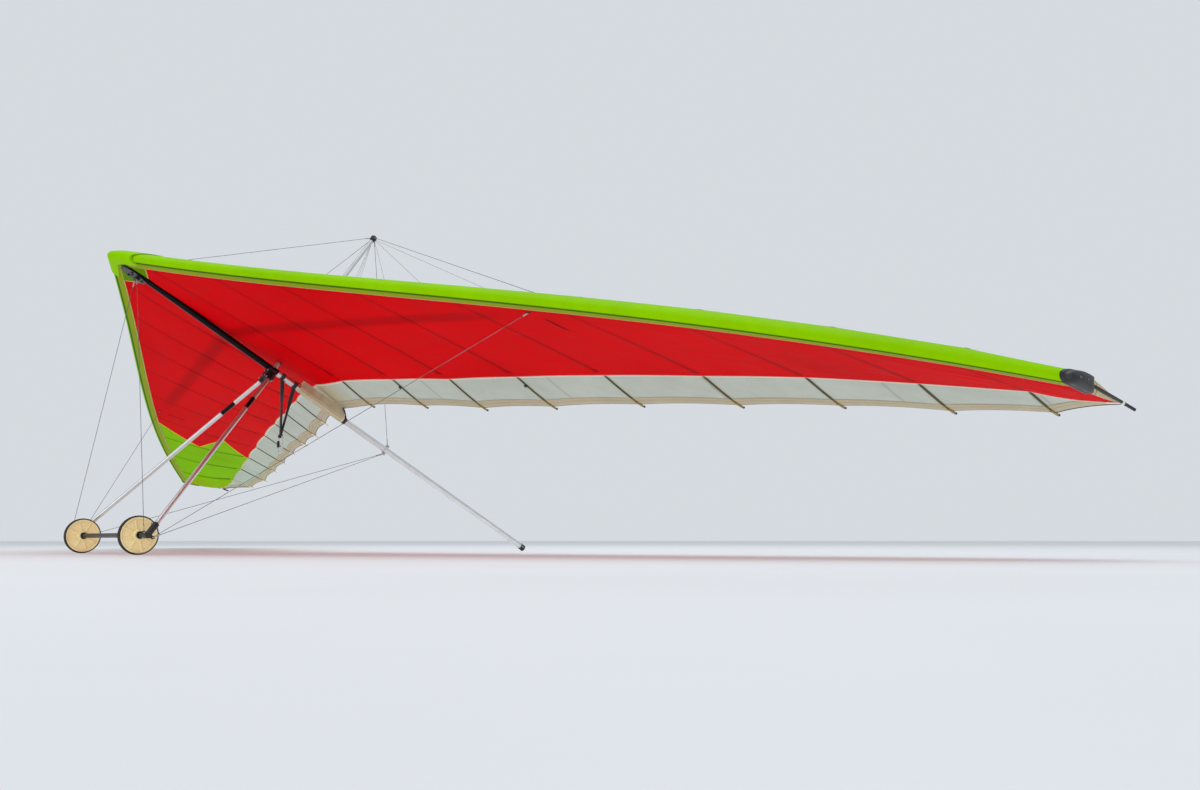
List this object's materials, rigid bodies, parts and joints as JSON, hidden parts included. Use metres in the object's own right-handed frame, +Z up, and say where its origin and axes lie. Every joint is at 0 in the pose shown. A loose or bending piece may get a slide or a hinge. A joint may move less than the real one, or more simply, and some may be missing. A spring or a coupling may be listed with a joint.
{
  "type": "hang glider",
  "caption": "Kingposted flex-wing hang glider, parked on base bar wheels and keel end: double-surface sail, control frame, wire rigging, hang strap.",
  "frame": {"origin": "on the floor, under the middle of the parked glider's box", "axes": "+X to the pilot's left along the span, +Y aft, +Z up; the keel is pitched nose-up by 30.07 degrees, so the nose faces -Y"},
  "size_m": [9.968, 3.1672, 2.2577],
  "materials": {
    "lime": "woven sailcloth, lime green",
    "red": "woven sailcloth, red",
    "white": "woven sailcloth, white with the undersurface band grey-white",
    "alloy": "drawn tube, clear anodised",
    "dark_alloy": "black anodised",
    "black_plastic": "moulded, satin black",
    "steel": "stainless wire and pressed ferrules",
    "cream_plastic": "moulded nylon, cream yellow",
    "rubber": "black rubber",
    "webbing": "woven polyester webbing, black"
  },
  "bodies": {
    "airframe": {"apex_bracket": "dark_alloy", "base_bar": "dark_alloy", "corner_bracket_left": "black_plastic", "corner_bracket_right": "black_plastic", "downtube_left": "alloy", "downtube_right": "alloy", "front_wire_left": "steel", "front_wire_right": "steel", "keel_end_cap": "black_plastic", "keel_pocket": "white", "keel_tube": "alloy", "kingpost": "alloy", "kingpost_cap": "black_plastic", "leading_edge_left": "lime", "leading_edge_right": "lime", "nose_cone": "lime", "nose_plate": "alloy", "rear_wire_left": "steel", "rear_wire_right": "steel", "rear_wire_tang": "steel", "side_wire_left": "steel", "side_wire_right": "steel", "tip_cap_left": "black_plastic", "tip_cap_right": "black_plastic", "tip_wand_left": "dark_alloy", "tip_wand_right": "dark_alloy", "top_front_wire": "steel", "top_rear_wire": "steel", "top_side_wire_left": "steel", "top_side_wire_right": "steel", "trailing_panel_left": "white", "trailing_panel_right": "white", "wing_panel_left": "red", "wing_panel_right": "red"},
    "left_wheel": {"wheel_left": "cream_plastic", "tyre_left": "rubber"},
    "right_wheel": {"wheel_right": "cream_plastic", "tyre_right": "rubber"},
    "strap": {"hang_strap": "webbing"},
    "carabiner": {"carabiner": "steel"}
  },
  "joints": [
    {"name": "wheel_left_spin", "type": "hinge", "parent": "airframe", "child": "left_wheel", "pos_m": [0.563, -1.47362, 0.11], "axis": [1, 0, 0], "continuous": true},
    {"name": "wheel_right_spin", "type": "hinge", "parent": "airframe", "child": "right_wheel", "pos_m": [-0.563, -1.47362, 0.11], "axis": [1, 0, 0], "continuous": true},
    {"name": "hang_strap_swing", "type": "hinge", "parent": "airframe", "child": "strap", "pos_m": [0, -0.41408, 1.16975], "axis": [0, 0.8654, -0.501], "range_deg": [-60, 60]},
    {"name": "carabiner_swing", "type": "hinge", "parent": "strap", "child": "carabiner", "pos_m": [0, -0.41408, 0.76975], "axis": [1, 0, 0], "range_deg": [-70, 70]}
  ]
}
